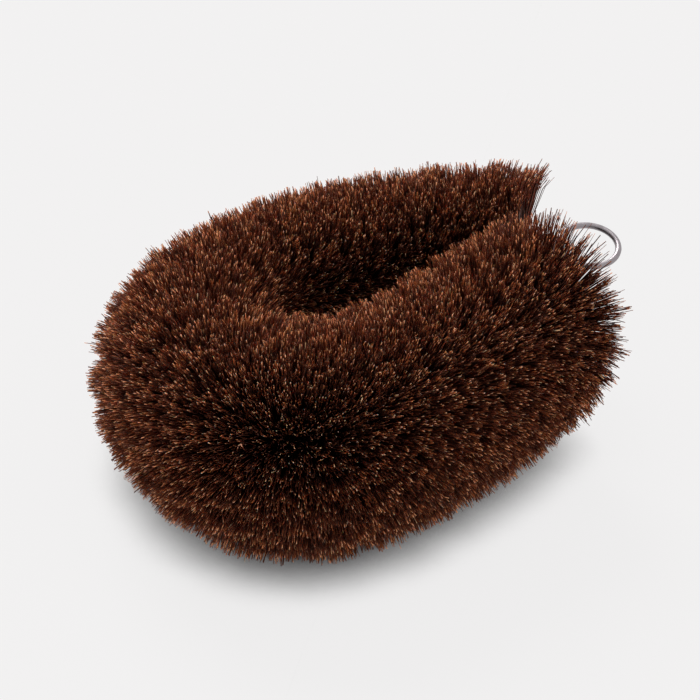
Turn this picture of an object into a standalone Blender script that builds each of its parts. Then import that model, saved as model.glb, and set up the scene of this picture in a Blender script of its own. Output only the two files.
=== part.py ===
"""Palm fibre scrub brush.

One length of wire is folded in half. The fold is a hanging ring, and the two legs are twisted
round each other with bundles of palm fibre gripped between them, so that the fibres stand out
all round. The stem is bent into a teardrop and closed by its own two cut ends, which pass above
and below the neck of the ring and are twisted together behind it.

Run it with: blender --background --python part.py
+X runs from the bend to the ring, +Z is up, and the near arm is the one on the -Y side. The
origin is on the surface that the brush lies on, in the middle of its box.
"""

import math

import bmesh
import bpy
import numpy as np
from mathutils import Vector

MM = 0.001

# The stem's line in plan. It starts at the middle of the bend and runs to the end of each arm.
NEAR_LENGTH = 62.0 * MM
NEAR_END_OFFSET = 8.7 * MM
NEAR_BEND_PULL = 26.5 * MM
NEAR_ARM_PULL = 37.8 * MM
NEAR_TOE_IN = math.radians(9.6)
FAR_LENGTH = 69.8 * MM
FAR_END_OFFSET = 9.9 * MM
FAR_BEND_PULL = 26.0 * MM
FAR_ARM_PULL = 38.2 * MM
FAR_TOE_IN = math.radians(28.4)

# The brush round the stem. It is trimmed a little closer round the bend and towards its ends.
BRUSH_RADIUS = 20.0 * MM
BEND_TRIM = 0.6 * MM
END_TRIM = 1.3 * MM
FLOOR_CUT = 0.5 * MM
END_LIFT = 1.7 * MM
BEND_SHARE = 0.35
TAPER_SHARE = 0.55

# The wire, and how it is twisted. Each bundle fills half a turn of the twist.
WIRE_DIAMETER = 1.2 * MM
FIBRE_LAYER = 1.5 * MM
CLEARANCE = 0.35 * MM
BUNDLES = 24
POINTS_PER_TURN = 8

# The ring, its neck, and the twisted ends that close the stem round the neck.
RING_DIAMETER = 12.6 * MM
NECK_LENGTH = 7.2 * MM
NECK_LIFT = 1.8 * MM
NECK_TURN = math.radians(10.1)
RING_ROLL = math.radians(12.0)
TAIL_LENGTH = 8.0 * MM
TAIL_TURNS = 0.75
WIRE_GAP = 0.5 * MM
PASSING_GAP = 0.8 * MM
CROSSING_SHARE = 0.5
RING_OPEN_ANGLE = math.radians(45.0)
RING_STEPS = 16
THROAT_STEPS = 4

# The fibre bundles. A bundle is a dense slice with loose tufts fused to it.
TUFT_HEIGHT = 2.8 * MM
TUFT_ROOT = 1.6 * MM
TUFT_ROOT_RADIUS = 1.4 * MM
TUFT_TIP_RADIUS = 0.4 * MM
TUFT_RAGGED = 0.9 * MM
TUFT_LEAN = 1.0 * MM
TUFT_ROWS = 2
TUFTS_IN_ROW = 13
TUFT_SIDES = 3
END_SPLAY = 3.0 * MM
BUNDLE_CROWN = 0.6 * MM
BUNDLE_SIDES = 16
LEAST_CROWDING_SHARE = 0.62
LEAST_TUFT_SHARE = 0.6
CROWDED_REACH_SHARE = 0.82

# How finely the stem's line is worked out, the edges that are shaded smooth, the radius past which
# the stem counts as straight, and how far a cutter runs past what it cuts.
LINE_STEPS = 240
SMOOTH_UP_TO = math.radians(40.0)
STRAIGHT_RADIUS = 300.0 * MM
OVERRUN = 30.0 * MM

GOLDEN_SHARE = (math.sqrt(5.0) - 1.0) / 2.0
HALF_TURN = math.pi
FULL_TURN = 2.0 * math.pi

WIRE_RADIUS = WIRE_DIAMETER / 2
TWIST_RADIUS = WIRE_RADIUS + FIBRE_LAYER / 2
TAIL_RADIUS = WIRE_RADIUS + WIRE_GAP / 2
STRADDLE_RADIUS = TWIST_RADIUS + WIRE_DIAMETER + PASSING_GAP
RING_RADIUS = RING_DIAMETER / 2 - WIRE_RADIUS
AXIS_HEIGHT = BRUSH_RADIUS - FLOOR_CUT
UP = np.array([0.0, 0.0, 1.0])


def clear_scene():
    """Removes what the start-up file holds."""
    for obj in list(bpy.data.objects):
        bpy.data.objects.remove(obj, do_unlink=True)


def bezier(points, steps):
    """Points along a cubic curve with four control points."""
    t = np.linspace(0.0, 1.0, steps)[:, None]
    a, b, c, d = points
    return (1 - t) ** 3 * a + 3 * (1 - t) ** 2 * t * b + 3 * (1 - t) * t**2 * c + t**3 * d


def arm_line(length, offset, bend_pull, arm_pull, toe_in, side):
    """One arm in plan, from the middle of the bend to its end. side is -1 for the near arm."""
    controls = np.array(
        [
            (0.0, 0.0),
            (0.0, bend_pull),
            (length - arm_pull * math.cos(toe_in), offset + arm_pull * math.sin(toe_in)),
            (length, offset),
        ]
    )
    return bezier(controls * (1, side), LINE_STEPS)


def ease(share, start):
    """Zero up to start, then a parabola that reaches one at share 1."""
    return np.clip((share - start) / (1 - start), 0.0, 1.0) ** 2


def arc_lengths(points):
    """The length along a line at each of its points."""
    steps = np.linalg.norm(np.diff(points, axis=0), axis=1)
    return np.concatenate([[0.0], np.cumsum(steps)])


class Line:
    """A line in space that is read by its arc length, with a level normal beside it."""

    def __init__(self, points, start=0.0):
        self.points = points
        self.at = start + arc_lengths(points)
        self.start = self.at[0]
        self.end = self.at[-1]

    def point(self, s):
        return np.array([np.interp(s, self.at, self.points[:, i]) for i in range(3)])

    def frame(self, s):
        """The point, the level direction ahead, the level normal on its left and the way up. The
        bundles so stand upright, also where the stem rises."""
        step = (self.end - self.start) / LINE_STEPS
        low = max(self.start, s - step)
        high = min(self.end, s + step)
        tangent = (self.point(high) - self.point(low)) * (1, 1, 0)
        tangent /= np.linalg.norm(tangent)
        return self.point(s), tangent, np.cross(UP, tangent), UP


def stem_line():
    """The stem from the near arm's end, round the bend, to the far arm's end."""
    near = arm_line(NEAR_LENGTH, NEAR_END_OFFSET, NEAR_BEND_PULL, NEAR_ARM_PULL, NEAR_TOE_IN, -1)
    far = arm_line(FAR_LENGTH, FAR_END_OFFSET, FAR_BEND_PULL, FAR_ARM_PULL, FAR_TOE_IN, 1)
    arms = []
    for plan in (near, far):
        share = arc_lengths(plan)
        share = share / share[-1]
        height = AXIS_HEIGHT + END_LIFT * ease(share, TAPER_SHARE)
        arms.append(np.column_stack([plan, height]))
    return Line(np.concatenate([arms[0][::-1], arms[1][1:]]))


def brush_radius(stem, s):
    """The brush's radius at s. It is a little less round the bend and towards the ends."""
    near_arm = arm_length(stem)
    share = (near_arm - s) / near_arm if s < near_arm else (s - near_arm) / (stem.end - near_arm)
    bend_trim = BEND_TRIM * np.clip(1 - share / BEND_SHARE, 0.0, 1.0) ** 2
    return BRUSH_RADIUS - bend_trim - END_TRIM * ease(share, TAPER_SHARE)


def arm_length(stem):
    """The near arm's length along the stem, which is where the middle of the bend lies."""
    return stem.at[LINE_STEPS - 1]


def inner_reach(stem, s):
    """How far fibres reach into the loop at s: the radius of the largest circle that touches the
    stem here and stays inside the loop, less the clearance. It also gives the bend's radius."""
    point, tangent, left, _ = stem.frame(s)
    inward = -left[:2]
    step = stem.points[:, :2] - point[:2]
    across = step @ inward
    near = np.abs(stem.at - s) < FIBRE_LAYER
    facing = (across > CLEARANCE) & ~near
    circles = (step[facing] ** 2).sum(axis=1) / (2 * across[facing])
    spacing = 2 * WIRE_DIAMETER
    before = stem.point(max(stem.start, s - spacing))[:2]
    after = stem.point(min(stem.end, s + spacing))[:2]
    bulge = ((before + after) / 2 - point[:2]) @ inward
    half_chord = np.linalg.norm(after - before) / 2
    bend = half_chord**2 / (2 * max(bulge, half_chord**2 / (2 * STRAIGHT_RADIUS)))
    reach = min(circles.min() - CLEARANCE, bend * CROWDED_REACH_SHARE)
    return reach, bend


def limited(radius, direction, reach):
    """A radius in a direction, whose level part towards the loop isn't longer than reach."""
    return min(radius, reach / direction) if direction > 0 else radius


def corner_radius(stem, s, reach, i):
    """The dense fibres' radius at a corner of a slice's outline. They are packed out to the tufts'
    tips towards the loop, and flattened where the arms meet."""
    inward = math.cos(FULL_TURN * (i + 0.5) / BUNDLE_SIDES)
    packed = brush_radius(stem, s) - TUFT_HEIGHT * (1 - max(0.0, inward))
    return limited(packed, inward, reach)


def slice_radius(stem, s, reach, angle):
    """The slice's radius in any direction, on the straight edge between two of its corners."""
    step = FULL_TURN / BUNDLE_SIDES
    corner = math.floor(angle / step - 0.5)
    past = angle - (corner + 0.5) * step
    first = corner_radius(stem, s, reach, corner)
    second = corner_radius(stem, s, reach, corner + 1)
    return first * second * math.sin(step) / (first * math.sin(past) + second * math.sin(step - past))


def bundle_section(stem, s, crown, shift):
    """One ring of a bundle's outline: a circle round the stem, flattened where the arms meet."""
    point, tangent, left, up = stem.frame(s)
    reach, _ = inner_reach(stem, s)
    ring = []
    for i in range(BUNDLE_SIDES):
        angle = FULL_TURN * (i + 0.5) / BUNDLE_SIDES
        size = corner_radius(stem, s, reach, i) - crown
        ring.append(point + size * (math.sin(angle) * up - math.cos(angle) * left) + shift * tangent)
    return ring


def shade_round(data):
    """Smooth shading that keeps the real edges sharp."""
    data.shade_smooth()
    data.set_sharp_from_angle(angle=SMOOTH_UP_TO)


def mesh_object(name, rings):
    """A closed mesh through rings of points, each ring joined to the next one."""
    mesh = bmesh.new()
    rows = [[mesh.verts.new(Vector(p)) for p in ring] for ring in rings]
    for row, following in zip(rows, rows[1:]):
        for i in range(len(row)):
            j = (i + 1) % len(row)
            mesh.faces.new((row[i], row[j], following[j], following[i]))
    mesh.faces.new(list(reversed(rows[0])))
    mesh.faces.new(rows[-1])
    bmesh.ops.recalc_face_normals(mesh, faces=mesh.faces)
    data = bpy.data.meshes.new(name)
    mesh.to_mesh(data)
    mesh.free()
    shade_round(data)
    return bpy.data.objects.new(name, data)


def dense_slice(name, stem, start, end):
    """The packed part of a bundle: three rings, with a slight crown in the middle."""
    middle = (start + end) / 2
    half_gap = CLEARANCE / 2
    rings = [
        bundle_section(stem, start, BUNDLE_CROWN, half_gap),
        bundle_section(stem, middle, 0.0, 0.0),
        bundle_section(stem, end, BUNDLE_CROWN, -half_gap),
    ]
    return mesh_object(name, rings)


def tuft(stem, s, angle, number, splay):
    """One loose tuft's rings, from its root inside the slice to its tip, or None where the other
    arm's fibres leave it no room. It tapers, and its tip leans a little to one side. Tufts differ
    in length, but all those underneath reach the surface that the brush lies on."""
    point, tangent, left, up = stem.frame(s)
    inward = math.cos(angle)
    radius = brush_radius(stem, s)
    reach, bend = inner_reach(stem, s)
    surface = slice_radius(stem, s, reach, angle)
    crowding = min(1.0, 1 - surface * inward / bend)
    chance = (number * GOLDEN_SHARE) % 1.0
    down = max(0.0, -math.sin(angle))
    free_tip = radius - TUFT_RAGGED * chance * (1 - down)
    tip = limited(free_tip, inward, reach - TUFT_TIP_RADIUS)
    if crowding < LEAST_CROWDING_SHARE or tip < surface + LEAST_TUFT_SHARE * TUFT_HEIGHT:
        return None
    out = math.sin(angle) * up - inward * left
    side = np.cross(tangent, out)
    turn = FULL_TURN * chance
    lean = splay * tangent
    if tip == free_tip:
        lean = lean + TUFT_LEAN * crowding * (math.cos(turn) * tangent + math.sin(turn) * side)
    corners = [turn + FULL_TURN * k / TUFT_SIDES for k in range(TUFT_SIDES)]
    spread = [math.cos(c) * tangent + math.sin(c) * side for c in corners]
    root = point + out * (surface - TUFT_ROOT)
    end = point + out * tip + lean
    return [
        [root + TUFT_ROOT_RADIUS * crowding * way for way in spread],
        [end + TUFT_TIP_RADIUS * crowding * way for way in spread],
    ]


def tufts(name, stem, start, end, first_number, twist):
    """The loose tufts of one bundle, in rows round the stem. Each row turns with the wire's twist,
    so that its tufts stand in the gaps between the last row's."""
    combined = bmesh.new()
    number = first_number
    for row in range(TUFT_ROWS):
        share = (row + 0.5) / TUFT_ROWS
        s = start + share * (end - start)
        splay = 0.0
        if start == stem.start:
            splay = -END_SPLAY * (1 - share)
        elif end == stem.end:
            splay = END_SPLAY * share
        for i in range(TUFTS_IN_ROW):
            rings = tuft(stem, s, twist(s) + FULL_TURN * i / TUFTS_IN_ROW, number, splay)
            number += 1
            if rings is None:
                continue
            single = mesh_object(name, rings)
            combined.from_mesh(single.data)
            bpy.data.objects.remove(single, do_unlink=True)
    data = bpy.data.meshes.new(name)
    combined.to_mesh(data)
    pieces = len(combined.verts) // (2 * TUFT_SIDES)
    combined.free()
    return bpy.data.objects.new(name, data), pieces


def boolean(obj, other, operation):
    """A Boolean modifier on obj."""
    modifier = obj.modifiers.new(operation.lower(), "BOOLEAN")
    modifier.operation = operation
    modifier.solver = "EXACT"
    modifier.object = other


def helper(obj, cutters):
    """Puts a cutter or a joined shape among the helpers, which aren't part of the brush."""
    cutters.objects.link(obj)
    obj.hide_render = True
    obj.display_type = "WIRE"
    return obj


def material(name, colour, roughness, metallic):
    """A Principled material."""
    made = bpy.data.materials.new(name)
    made.use_nodes = True
    shader = made.node_tree.nodes["Principled BSDF"]
    shader.inputs["Base Color"].default_value = (*colour, 1.0)
    shader.inputs["Roughness"].default_value = roughness
    shader.inputs["Metallic"].default_value = metallic
    made.diffuse_color = (*colour, 1.0)
    return made


def twist_pitch(stem):
    """Two bundles to a turn."""
    return 2 * (stem.end - stem.start) / BUNDLES


def neck_line(stem):
    """The neck, from the far arm's end to the ring's throat, and the directions of the ring. It
    rises to the ring, which lies level along the neck and higher on its left."""
    point, tangent, _, _ = stem.frame(stem.end)
    heading = math.atan2(tangent[1], tangent[0]) + NECK_TURN
    outward = np.array([math.cos(heading), math.sin(heading), 0.0])
    end = point + outward * NECK_LENGTH + UP * NECK_LIFT
    pull = NECK_LENGTH / 3
    controls = np.array([point, point + tangent * pull, end - outward * pull, end])
    across = math.cos(RING_ROLL) * np.cross(UP, outward) + math.sin(RING_ROLL) * UP
    return Line(bezier(controls, LINE_STEPS), stem.end), outward, across


def closing_line(stem, neck):
    """The cut ends' way from the near arm's end to the neck, and on past it, and the length along
    it at the neck."""
    start, tangent, _, _ = stem.frame(stem.start)
    out = -tangent
    crossing_at = neck.start + CROSSING_SHARE * NECK_LENGTH
    crossing, _, arriving, _ = neck.frame(crossing_at)
    pull = np.linalg.norm(crossing - start) / 3
    controls = np.array([start, start + out * pull, crossing - arriving * pull, crossing])
    lead = bezier(controls, LINE_STEPS)
    tail_end = crossing + arriving * TAIL_LENGTH
    return Line(np.concatenate([lead, tail_end[None]])), arc_lengths(lead)[-1]


def wire_route(stem):
    """The folded wire's own line: a cut end, a leg, the ring, the other leg, the other cut end.
    It returns the points and the twist's angle along the stem."""
    neck, outward, across = neck_line(stem)
    closing, lead = closing_line(stem, neck)
    pitch = twist_pitch(stem)

    def twist(s):
        """The first leg's angle round the stem. It lies in the ring's plane at the throat."""
        return HALF_TURN - RING_ROLL - FULL_TURN * (neck.end - s) / pitch

    step = pitch / POINTS_PER_TURN
    at_start = twist(stem.start)
    natural = at_start - HALF_TURN * lead / pitch
    over_and_under = HALF_TURN / 2 + HALF_TURN * round((natural - HALF_TURN / 2) / HALF_TURN)
    closing_total = over_and_under - at_start

    def closing_angle(d):
        """The twist dies away towards the neck and starts again behind it."""
        if d <= lead:
            share = d / lead
            return at_start + closing_total * share * (2 - share)
        return over_and_under - FULL_TURN * TAIL_TURNS * ((d - lead) / TAIL_LENGTH) ** 2

    def closing_radius(d):
        """Wide where the legs pass the neck, and tight in the tail behind it."""
        width = STRADDLE_RADIUS
        bulge = math.exp(-(((d - lead) / width) ** 2))
        base = TWIST_RADIUS if d <= lead else TAIL_RADIUS
        return base + (STRADDLE_RADIUS - base) * bulge

    def leg(side):
        """One leg, from its cut end to the throat."""
        turned = 0.0 if side > 0 else HALF_TURN
        points = []
        for d in np.arange(closing.end, step / 2, -step):
            point, tangent, left, up = closing.frame(d)
            # The closing line runs the other way, so its left is the stem's right.
            angle = closing_angle(d) + turned
            points.append(point + closing_radius(d) * (math.cos(angle) * left + math.sin(angle) * up))
        for line, start, end in ((stem, stem.start, stem.end), (neck, neck.start, neck.end)):
            count = max(2, round((end - start) / step))
            for s in np.linspace(start, end, count, endpoint=False):
                point, tangent, left, up = line.frame(s)
                angle = twist(s) + turned
                points.append(point + TWIST_RADIUS * (math.sin(angle) * up - math.cos(angle) * left))
        return points

    def ring():
        """The ring's arc and the two throats that lead into it, in the ring's own plane."""
        throat = neck.point(neck.end)
        centre = throat + outward * (RING_RADIUS + WIRE_DIAMETER)
        angles = np.linspace(RING_OPEN_ANGLE, FULL_TURN - RING_OPEN_ANGLE, RING_STEPS)
        arc = np.column_stack([-np.cos(angles), np.sin(angles)]) * RING_RADIUS
        start = np.array([-(RING_RADIUS + WIRE_DIAMETER), TWIST_RADIUS])
        away = np.array([math.sin(RING_OPEN_ANGLE), math.cos(RING_OPEN_ANGLE)])
        pull = np.linalg.norm(arc[0] - start) / 3
        controls = np.array([start, start + (pull, 0.0), arc[0] - away * pull, arc[0]])
        entry = bezier(controls, THROAT_STEPS)[:-1]
        leaving = (entry * (1, -1))[::-1]
        flat = np.concatenate([entry, arc, leaving])
        return [centre + outward * u + across * v for u, v in flat]

    first, second = leg(1), leg(-1)
    return first + ring() + second[::-1], twist


def least_gap(points, near):
    """The least gap between the wire's surfaces, among points over near apart along it."""
    at = arc_lengths(points)
    least = OVERRUN
    for i in range(len(points)):
        apart = np.abs(at - at[i]) > near
        if apart.any():
            least = min(least, np.linalg.norm(points[apart] - points[i], axis=1).min())
    return least - WIRE_DIAMETER


def wire_curve(name, points, radius):
    """A round wire through the points, as a curve object."""
    data = bpy.data.curves.new(name, "CURVE")
    data.dimensions = "3D"
    data.bevel_depth = radius
    data.bevel_resolution = 1
    data.use_fill_caps = True
    spline = data.splines.new("POLY")
    spline.points.add(len(points) - 1)
    for target, point in zip(spline.points, points):
        target.co = (*point, 1.0)
    return bpy.data.objects.new(name, data)


def curve_to_mesh(obj, collection):
    """The curve's evaluated mesh as a new object, with its caps welded."""
    collection.objects.link(obj)
    bpy.context.view_layer.update()
    evaluated = obj.evaluated_get(bpy.context.evaluated_depsgraph_get())
    data = bpy.data.meshes.new_from_object(evaluated)
    welded = bmesh.new()
    welded.from_mesh(data)
    bmesh.ops.remove_doubles(welded, verts=welded.verts, dist=WIRE_RADIUS / 100)
    bmesh.ops.recalc_face_normals(welded, faces=welded.faces)
    welded.to_mesh(data)
    welded.free()
    made = bpy.data.objects.new(obj.name, data)
    made.matrix_world = obj.matrix_world
    name = obj.name
    bpy.data.objects.remove(obj, do_unlink=True)
    made.name = name
    return made


def floor_cutter():
    """A block under the brush, whose top is the surface that the brush lies on."""
    mesh = bmesh.new()
    bmesh.ops.create_cube(mesh, size=1.0)
    across = 4 * (FAR_LENGTH + BRUSH_RADIUS)
    bmesh.ops.scale(mesh, vec=(across, across, OVERRUN), verts=mesh.verts)
    bmesh.ops.translate(mesh, vec=(0.0, 0.0, -OVERRUN / 2), verts=mesh.verts)
    data = bpy.data.meshes.new("floor_cutter")
    mesh.to_mesh(data)
    mesh.free()
    return bpy.data.objects.new("floor_cutter", data)


def place_origin(brush):
    """Moves the brush so that the origin is under the middle of its box."""
    bpy.context.view_layer.update()
    graph = bpy.context.evaluated_depsgraph_get()
    corners = []
    for obj in brush.objects:
        evaluated = obj.evaluated_get(graph)
        corners += [evaluated.matrix_world @ Vector(corner) for corner in evaluated.bound_box]
    low = [min(corner[i] for corner in corners) for i in range(2)]
    high = [max(corner[i] for corner in corners) for i in range(2)]
    middle = Vector(((low[0] + high[0]) / 2, (low[1] + high[1]) / 2, 0.0))
    for obj in bpy.data.objects:
        obj.location -= middle
    print("origin moved by", [round(value / MM, 3) for value in middle], "mm")


def main():
    clear_scene()
    brush = bpy.data.collections.new("palm_fibre_scrub_brush")
    cutters = bpy.data.collections.new("cutters")
    for collection in (brush, cutters):
        bpy.context.scene.collection.children.link(collection)
    fibre = material("palm_fibre", (0.075, 0.022, 0.008), 0.55, 0.0)
    steel = material("galvanised_wire", (0.42, 0.40, 0.39), 0.38, 1.0)

    stem = stem_line()
    route, twist = wire_route(stem)
    points = np.array(route)
    print("least gap of the wire to itself", round(least_gap(points, 4 * WIRE_DIAMETER) / MM, 2), "mm")
    wire = curve_to_mesh(wire_curve("core_wire", route, WIRE_RADIUS), brush)
    brush.objects.link(wire)
    wire.data.materials.append(steel)
    shade_round(wire.data)
    channel = curve_to_mesh(wire_curve("wire_channel", route, WIRE_RADIUS + CLEARANCE), cutters)
    helper(channel, cutters)
    floor = helper(floor_cutter(), cutters)

    edges = np.linspace(stem.start, stem.end, BUNDLES + 1)
    total = 0
    for i in range(BUNDLES):
        start, end = edges[i], edges[i + 1]
        slice_ = dense_slice(f"fibre_bundle_{i + 1:02d}", stem, start, end)
        first_number = TUFT_ROWS * TUFTS_IN_ROW * i
        loose, pieces = tufts(f"tufts_{i + 1:02d}", stem, start, end, first_number, twist)
        total += pieces
        helper(loose, cutters)
        brush.objects.link(slice_)
        slice_.data.materials.append(fibre)
        boolean(slice_, channel, "DIFFERENCE")
        boolean(slice_, loose, "UNION")
        boolean(slice_, floor, "DIFFERENCE")
    print(total, "tufts on", BUNDLES, "bundles")
    place_origin(brush)


main()
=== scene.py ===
"""Palm fibre scrub brush: the looks of its fibres and its wire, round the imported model.

One length of wire is folded in half. The fold is a hanging ring, and the two legs are twisted
round each other with palm fibres gripped between them. The stem is bent into a teardrop and
closed by its own two cut ends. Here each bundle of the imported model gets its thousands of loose
fibres, and the wire gets its round section and its zinc finish.

Lengths are in metres. +X runs from the bend to the ring, +Z is up, and the near arm is at -Y.
"""

import math

import bpy
import numpy as np
from bpy.props import FloatProperty, FloatVectorProperty, IntProperty, PointerProperty
from bpy.types import Operator, Panel, PropertyGroup
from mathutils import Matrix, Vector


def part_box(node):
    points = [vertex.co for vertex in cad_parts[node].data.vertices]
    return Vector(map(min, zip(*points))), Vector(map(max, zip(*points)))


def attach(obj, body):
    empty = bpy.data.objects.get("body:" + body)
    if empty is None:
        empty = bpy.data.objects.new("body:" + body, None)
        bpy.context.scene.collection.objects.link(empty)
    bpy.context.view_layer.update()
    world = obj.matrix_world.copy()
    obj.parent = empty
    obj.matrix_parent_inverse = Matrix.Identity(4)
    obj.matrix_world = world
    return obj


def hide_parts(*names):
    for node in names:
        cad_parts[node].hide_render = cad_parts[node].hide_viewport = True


bl_info = {
    "name": "Palm Fibre Scrub Brush",
    "version": (1, 0, 0),
    "blender": (4, 5, 0),
    "location": "3D View > Sidebar > Scrub Brush",
    "description": "Adds the fibres, the wire and the stage of a twisted palm fibre scrub brush",
    "category": "Add Mesh",
}

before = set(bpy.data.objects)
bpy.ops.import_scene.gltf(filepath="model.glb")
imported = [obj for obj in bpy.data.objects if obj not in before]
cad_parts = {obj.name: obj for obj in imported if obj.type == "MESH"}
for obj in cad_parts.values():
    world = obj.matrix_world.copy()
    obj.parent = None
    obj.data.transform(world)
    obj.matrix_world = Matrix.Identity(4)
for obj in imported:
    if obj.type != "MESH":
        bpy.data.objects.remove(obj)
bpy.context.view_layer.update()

MM = 0.001
FULL_TURN = 2 * math.pi
HALF_TURN = math.pi
UP = np.array([0.0, 0.0, 1.0])
BUNDLES = sorted(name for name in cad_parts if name.startswith("fibre_bundle"))
SEED = 11

# The stem's line in plan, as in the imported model, from the middle of the bend to each arm's end.
NEAR_ARM = dict(
    length=62.0 * MM, offset=8.7 * MM, bend_pull=26.5 * MM, arm_pull=37.8 * MM,
    toe_in=math.radians(9.6), side=-1,
)
FAR_ARM = dict(
    length=69.8 * MM, offset=9.9 * MM, bend_pull=26.0 * MM, arm_pull=38.2 * MM,
    toe_in=math.radians(28.4), side=1,
)
LINE_STEPS = 240
STRAIGHT_RADIUS = 300.0 * MM

# The brush round the stem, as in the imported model.
BRUSH_RADIUS = 20.0 * MM
BEND_TRIM = 0.6 * MM
END_TRIM = 1.3 * MM
FLOOR_CUT = 0.5 * MM
END_LIFT = 1.7 * MM
BEND_SHARE = 0.35
TAPER_SHARE = 0.55
AXIS_HEIGHT = BRUSH_RADIUS - FLOOR_CUT

# How the loop crowds the fibres that reach into it, and how dense they may be round the bend.
RIM_REACH = 12.5 * MM
OTHER_ARM = 30.0 * MM
LEVEL_STEPS = np.arange(1.0, 22.0, 0.25) * MM
CROWDING_POWER = 8
CROWDING_BLUR = 1.5 * MM
ROOM_STEP = 2
SUM_REACH = 400.0
SUM_STEP = 0.05
LEAST_ROOM = 0.12
MOST_ROOM = 1.9

# The wire and its twist, the ring, its neck, and the cut ends behind it.
WIRE_DIAMETER = 1.2 * MM
WIRE_RADIUS = WIRE_DIAMETER / 2
FIBRE_LAYER = 1.5 * MM
TWIST_RADIUS = WIRE_RADIUS + FIBRE_LAYER / 2
RING_DIAMETER = 12.6 * MM
RING_RADIUS = RING_DIAMETER / 2 - WIRE_RADIUS
NECK_LENGTH = 7.2 * MM
NECK_LIFT = 1.8 * MM
NECK_TURN = math.radians(10.1)
RING_ROLL = math.radians(12.0)
RING_OPEN_ANGLE = math.radians(45.0)
TAIL_LENGTH = 8.0 * MM
TAIL_TURNS = 0.75
WIRE_GAP = 0.5 * MM
PASSING_GAP = 0.8 * MM
CROSSING_SHARE = 0.5
TAIL_RADIUS = WIRE_RADIUS + WIRE_GAP / 2
STRADDLE_RADIUS = TWIST_RADIUS + WIRE_DIAMETER + PASSING_GAP
WIRE_SIDES = 14
CUT_CHAMFER = 0.12 * MM

# The imported core, where the fibres' roots are gripped. Its UV gives it a dark tone and puts it
# deep in the fibres' painted shade.
CORE_RADIUS = 6.5 * MM
CORE_SIDES = 48
CORE_ROWS = 240
CORE_INSET = 2.0 * MM
CORE_RIM_GAP = 0.5 * MM
CORE_END_SHARE = 0.02
CORE_SHADE_UV = (0.15, 0.4)
RIPPLE_DEPTH = 0.15 * MM
RIPPLES = 17

# The powers of the plastic number fill two directions evenly.
PLASTIC = 1.32471795724474602596

# The clumps of tips, and the thin and the full patches of the pile, which are sums of waves.
CLUMP_RAGGED = 0.3
CLUMP_TONE_SPREAD = 0.14
CLUMP_SEARCH = 3.0 * MM
PATCH_WAVES = 9
PATCH_WIDTH = 4.5 * MM
WAVE_LEAST = 0.7
WAVE_SPREAD = 0.8
WAVE_SLANT = 0.5
FULLEST_PATCH = -0.35
# The thin patches are painted darker too, as shade for their deeper pile.
PATCH_PAINTED_SHADE = 0.13

# One fibre: where its rings stand along it, with a kink near its tip, and how thick it is there.
FIBRE_SIDES = 3
FIBRE_SHARES = np.array([0.0, 0.88, 1.0])
FIBRE_TAPER = np.array([1.1, 1.0, 0.8])
SIDE_SKEW = 0.31
THICKNESS_LEAST = 0.7
THICKNESS_SPREAD = 0.9
TIP_PULL = 0.35
UNEVEN = 0.3 * MM
UNRULY_BEND = 3.0
CUT_END_MARK = 2.0

# Where a fibre starts and ends, a shallow hollow in the near arm, and how much fuller each end is.
ROOT_DEPTH = 1.0 * MM
ROOT_SHARE = 0.6
PILE_RISE = 1.25 * MM
RAGGED_POWER = 1.3
LONG_SHARE = 0.006
LONG_REACH = 1.2 * MM
MEET_REACH = 3.5 * MM
MEET_START = 0.88
LEVEL_LIMIT = 0.02
SOFTNESS = 14.0
HOLLOW_DEPTH = 1.1 * MM
HOLLOW_PLACE = 33.0 * MM
HOLLOW_LENGTH = 14.0 * MM
HOLLOW_ANGLE = math.radians(50.0)
NEAR_END_FULL = 1.5 * MM
FAR_END_FULL = -0.5 * MM

# Near the stem's ends the roots go deeper, and the tips gather and lean outward.
END_LENGTH = 9.0 * MM
END_GATHER = 0.25
END_ROOTS = 3.5 * MM
END_ROOT_RADIUS = 1.2 * MM
SPLAY_POWER = 1.5
SPLAY_LEAST = 0.5
SPLAY_SPREAD = 0.8
NEAR_LEAN = 0.4
NEAR_LEAN_RISE = 1.8
FAR_LEAN = 4.2
FAR_LEAN_ANGLE = math.radians(124.0)
FAR_LEAN_BACK = 1.6

# The fibres' tones: 0 is the darkest, and 1 a pale stray. The stops are for the looks' colours.
TONE_STOPS = (0.0, 0.6, 0.92, 1.0)
USUAL_TONE = 0.55
TONE_SPREAD = 0.17
LIGHTEST_TONE = 0.9
# How much darker the short fibres are painted, as shade for lying deeper in the pile.
DEEP_PAINTED_SHADE = 0.7
STRAY_SHARE = 0.004


def linear_colour(code):
    """The linear red, green and blue of an sRGB hex colour."""
    channels = np.array([int(code[i : i + 2], 16) for i in (1, 3, 5)]) / 255
    low, high = channels / 12.92, ((channels + 0.055) / 1.055) ** 2.4
    return tuple(float(value) for value in np.where(channels <= 0.04045, low, high))


def colour_property(name, description, code):
    """A colour that a user can change."""
    return FloatVectorProperty(
        name=name, description=description, subtype="COLOR", size=3, min=0.0, max=1.0,
        default=linear_colour(code),
    )


def length_property(name, description, length):
    """A length that a user can change, in metres."""
    return FloatProperty(name=name, description=description, unit="LENGTH", min=0.0, default=length)


def strength_property(name, description, strength):
    """A light's strength that a user can change."""
    return FloatProperty(name=name, description=description, min=0.0, default=strength)


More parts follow.
